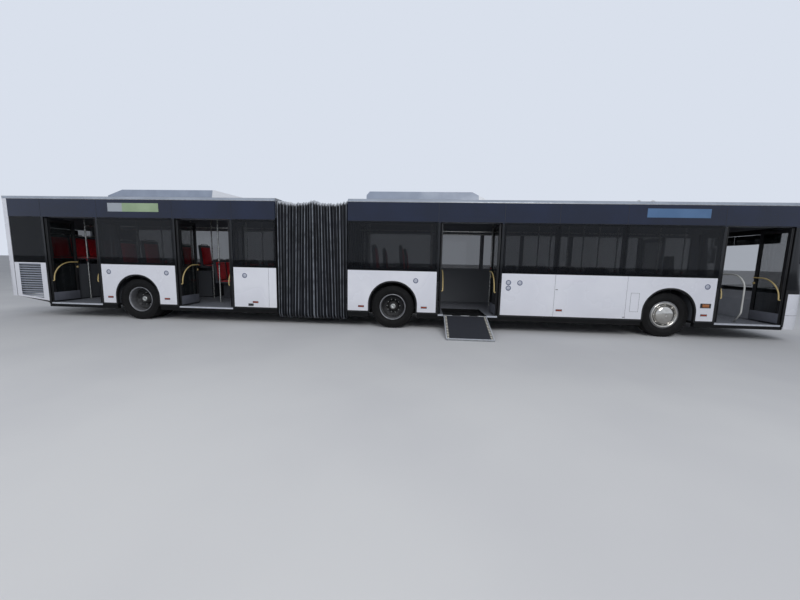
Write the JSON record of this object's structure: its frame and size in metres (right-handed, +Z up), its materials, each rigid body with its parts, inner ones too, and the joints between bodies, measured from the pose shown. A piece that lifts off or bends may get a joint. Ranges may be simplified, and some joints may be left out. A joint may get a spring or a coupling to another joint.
{
  "type": "articulated bus",
  "caption": "Low-floor articulated city bus with folding-in doors, pleated bellows, folding ramp, steered front axle and twin wheels behind.",
  "frame": {"origin": "on the ground, under the middle of the box that holds the bus, its mirrors and the folded-out ramp", "axes": "+X forward along the bus, +Y to its left, +Z up"},
  "size_m": [18.13, 3.628, 3.065],
  "materials": {
    "frame_steel": "dark chassis paint",
    "black_gloss": "gloss black paint",
    "white_paint": "gloss white paint",
    "roof_paint": "pale grey paint",
    "tinted_glass": "grey tinted",
    "seat_shell": "red upholstered shell",
    "rail_steel": "pale yellow coated tube",
    "grey_plastic": "grained grey",
    "unit_plastic": "pale grey moulding",
    "black_plastic": "grained black",
    "lamp_clear": "clear lens",
    "lamp_red": "red lens",
    "axle_iron": "dark painted",
    "engine_iron": "dark painted",
    "bellows_cloth": "rubber coated dark grey",
    "ramp_alloy": "plate with a gritted centre",
    "tyre": "worn black",
    "rim_steel": "silver paint",
    "door_alloy": "black coated frame",
    "post_steel": "black coated"
  },
  "bodies": {
    "front_section": {"front_underframe": "frame_steel", "front_side_walls": "black_gloss", "front_skirts": "white_paint", "front_roof": "roof_paint", "front_mask": "white_paint", "front_glazing": "tinted_glass", "front_seats": "seat_shell", "front_handrails": "rail_steel", "driver_cab": "grey_plastic", "front_roof_unit": "unit_plastic", "mirrors": "black_plastic", "headlamps": "lamp_clear", "front_axle": "axle_iron", "middle_axle": "axle_iron"},
    "rear_section": {"rear_underframe": "frame_steel", "rear_side_walls": "black_gloss", "rear_skirts": "white_paint", "rear_roof": "roof_paint", "rear_mask": "white_paint", "rear_glazing": "tinted_glass", "rear_seats": "seat_shell", "rear_handrails": "rail_steel", "rear_roof_unit": "unit_plastic", "tail_lamps": "lamp_red", "engine": "engine_iron", "rear_axle": "axle_iron", "bellows": "bellows_cloth"},
    "ramp": {"ramp": "ramp_alloy"},
    "knuckle_left": {"knuckle_left": "axle_iron"},
    "knuckle_right": {"knuckle_right": "axle_iron"},
    "wheel_front_left": {"tyre_front_left": "tyre", "rim_front_left": "rim_steel"},
    "wheels_middle_left": {"tyres_middle_left": "tyre", "rims_middle_left": "rim_steel"},
    "wheels_rear_left": {"tyres_rear_left": "tyre", "rims_rear_left": "rim_steel"},
    "wheel_front_right": {"tyre_front_right": "tyre", "rim_front_right": "rim_steel"},
    "wheels_middle_right": {"tyres_middle_right": "tyre", "rims_middle_right": "rim_steel"},
    "wheels_rear_right": {"tyres_rear_right": "tyre", "rims_rear_right": "rim_steel"},
    "door_1_rear_post": {"door_1_rear_post": "post_steel"},
    "door_1_rear_leaf": {"door_1_rear_leaf": "door_alloy"},
    "door_1_front_post": {"door_1_front_post": "post_steel"},
    "door_1_front_leaf": {"door_1_front_leaf": "door_alloy"},
    "door_2_rear_post": {"door_2_rear_post": "post_steel"},
    "door_2_rear_leaf": {"door_2_rear_leaf": "door_alloy"},
    "door_2_front_post": {"door_2_front_post": "post_steel"},
    "door_2_front_leaf": {"door_2_front_leaf": "door_alloy"},
    "door_3_rear_post": {"door_3_rear_post": "post_steel"},
    "door_3_rear_leaf": {"door_3_rear_leaf": "door_alloy"},
    "door_3_front_post": {"door_3_front_post": "post_steel"},
    "door_3_front_leaf": {"door_3_front_leaf": "door_alloy"},
    "door_4_rear_post": {"door_4_rear_post": "post_steel"},
    "door_4_rear_leaf": {"door_4_rear_leaf": "door_alloy"},
    "door_4_front_post": {"door_4_front_post": "post_steel"},
    "door_4_front_leaf": {"door_4_front_leaf": "door_alloy"}
  },
  "joints": [
    {"name": "articulation", "type": "hinge", "parent": "front_section", "child": "rear_section", "pos_m": [-1.5, 0.38901, 0.259], "axis": [0, 0, 1], "range_deg": [-50, 50], "deforming": ["bellows"]},
    {"name": "steering", "type": "hinge", "parent": "front_section", "child": "knuckle_left", "pos_m": [6.17, 1.31901, 0.479], "axis": [0, 0, 1], "range_deg": [-42, 42]},
    {"name": "wheel_front_left_spin", "type": "hinge", "parent": "knuckle_left", "child": "wheel_front_left", "pos_m": [6.17, 1.43901, 0.479], "axis": [0, 1, 0], "continuous": true},
    {"name": "wheels_middle_left_spin", "type": "hinge", "parent": "front_section", "child": "wheels_middle_left", "pos_m": [0.325, 1.32701, 0.479], "axis": [0, 1, 0], "continuous": true},
    {"name": "wheels_rear_left_spin", "type": "hinge", "parent": "rear_section", "child": "wheels_rear_left", "pos_m": [-5.665, 1.32701, 0.479], "axis": [0, 1, 0], "continuous": true},
    {"name": "steering_right", "type": "hinge", "parent": "front_section", "child": "knuckle_right", "pos_m": [6.17, -0.54099, 0.479], "axis": [0, 0, 1], "range_deg": [-42, 42]},
    {"name": "wheel_front_right_spin", "type": "hinge", "parent": "knuckle_right", "child": "wheel_front_right", "pos_m": [6.17, -0.66099, 0.479], "axis": [0, 1, 0], "continuous": true},
    {"name": "wheels_middle_right_spin", "type": "hinge", "parent": "front_section", "child": "wheels_middle_right", "pos_m": [0.325, -0.54899, 0.479], "axis": [0, 1, 0], "continuous": true},
    {"name": "wheels_rear_right_spin", "type": "hinge", "parent": "rear_section", "child": "wheels_rear_right", "pos_m": [-5.665, -0.54899, 0.479], "axis": [0, 1, 0], "continuous": true},
    {"name": "ramp", "type": "hinge", "parent": "front_section", "child": "ramp", "pos_m": [1.93, -0.88099, 0.335], "axis": [-1, 0, 0], "range_deg": [0, 199.07]},
    {"name": "door_1", "type": "hinge", "parent": "front_section", "child": "door_1_rear_post", "pos_m": [7.084, -0.79399, 0.35], "axis": [0, 0, -1], "range_deg": [0, 90]},
    {"name": "door_1_rear_leaf_turn", "type": "hinge", "parent": "door_1_rear_post", "child": "door_1_rear_leaf", "pos_m": [7.147, -0.50699, 0.35], "axis": [0, 0, 1], "range_deg": [0, 180]},
    {"name": "door_1_front_post_turn", "type": "hinge", "parent": "front_section", "child": "door_1_front_post", "pos_m": [8.416, -0.79399, 0.35], "axis": [0, 0, 1], "range_deg": [0, 90]},
    {"name": "door_1_front_leaf_turn", "type": "hinge", "parent": "door_1_front_post", "child": "door_1_front_leaf", "pos_m": [8.353, -0.50699, 0.35], "axis": [0, 0, -1], "range_deg": [0, 180]},
    {"name": "door_2", "type": "hinge", "parent": "front_section", "child": "door_2_rear_post", "pos_m": [1.317, -0.79399, 0.35], "axis": [0, 0, -1], "range_deg": [0, 90]},
    {"name": "door_2_rear_leaf_turn", "type": "hinge", "parent": "door_2_rear_post", "child": "door_2_rear_leaf", "pos_m": [1.38, -0.50699, 0.35], "axis": [0, 0, 1], "range_deg": [0, 180]},
    {"name": "door_2_front_post_turn", "type": "hinge", "parent": "front_section", "child": "door_2_front_post", "pos_m": [2.649, -0.79399, 0.35], "axis": [0, 0, 1], "range_deg": [0, 90]},
    {"name": "door_2_front_leaf_turn", "type": "hinge", "parent": "door_2_front_post", "child": "door_2_front_leaf", "pos_m": [2.586, -0.50699, 0.35], "axis": [0, 0, -1], "range_deg": [0, 180]},
    {"name": "door_3", "type": "hinge", "parent": "rear_section", "child": "door_3_rear_post", "pos_m": [-4.676, -0.79399, 0.35], "axis": [0, 0, -1], "range_deg": [0, 90]},
    {"name": "door_3_rear_leaf_turn", "type": "hinge", "parent": "door_3_rear_post", "child": "door_3_rear_leaf", "pos_m": [-4.613, -0.50699, 0.35], "axis": [0, 0, 1], "range_deg": [0, 180]},
    {"name": "door_3_front_post_turn", "type": "hinge", "parent": "rear_section", "child": "door_3_front_post", "pos_m": [-3.344, -0.79399, 0.35], "axis": [0, 0, 1], "range_deg": [0, 90]},
    {"name": "door_3_front_leaf_turn", "type": "hinge", "parent": "door_3_front_post", "child": "door_3_front_leaf", "pos_m": [-3.407, -0.50699, 0.35], "axis": [0, 0, -1], "range_deg": [0, 180]},
    {"name": "door_4", "type": "hinge", "parent": "rear_section", "child": "door_4_rear_post", "pos_m": [-7.881, -0.79399, 0.35], "axis": [0, 0, -1], "range_deg": [0, 90]},
    {"name": "door_4_rear_leaf_turn", "type": "hinge", "parent": "door_4_rear_post", "child": "door_4_rear_leaf", "pos_m": [-7.818, -0.50699, 0.35], "axis": [0, 0, 1], "range_deg": [0, 180]},
    {"name": "door_4_front_post_turn", "type": "hinge", "parent": "rear_section", "child": "door_4_front_post", "pos_m": [-6.549, -0.79399, 0.35], "axis": [0, 0, 1], "range_deg": [0, 90]},
    {"name": "door_4_front_leaf_turn", "type": "hinge", "parent": "door_4_front_post", "child": "door_4_front_leaf", "pos_m": [-6.612, -0.50699, 0.35], "axis": [0, 0, -1], "range_deg": [0, 180]}
  ],
  "couplings": [
    {"joint": "steering_right", "follows": "steering", "ratio": 1},
    {"joint": "door_1_rear_leaf_turn", "follows": "door_1", "ratio": 2},
    {"joint": "door_1_front_post_turn", "follows": "door_1", "ratio": 1},
    {"joint": "door_1_front_leaf_turn", "follows": "door_1", "ratio": 2},
    {"joint": "door_2_rear_leaf_turn", "follows": "door_2", "ratio": 2},
    {"joint": "door_2_front_post_turn", "follows": "door_2", "ratio": 1},
    {"joint": "door_2_front_leaf_turn", "follows": "door_2", "ratio": 2},
    {"joint": "door_3_rear_leaf_turn", "follows": "door_3", "ratio": 2},
    {"joint": "door_3_front_post_turn", "follows": "door_3", "ratio": 1},
    {"joint": "door_3_front_leaf_turn", "follows": "door_3", "ratio": 2},
    {"joint": "door_4_rear_leaf_turn", "follows": "door_4", "ratio": 2},
    {"joint": "door_4_front_post_turn", "follows": "door_4", "ratio": 1},
    {"joint": "door_4_front_leaf_turn", "follows": "door_4", "ratio": 2}
  ]
}
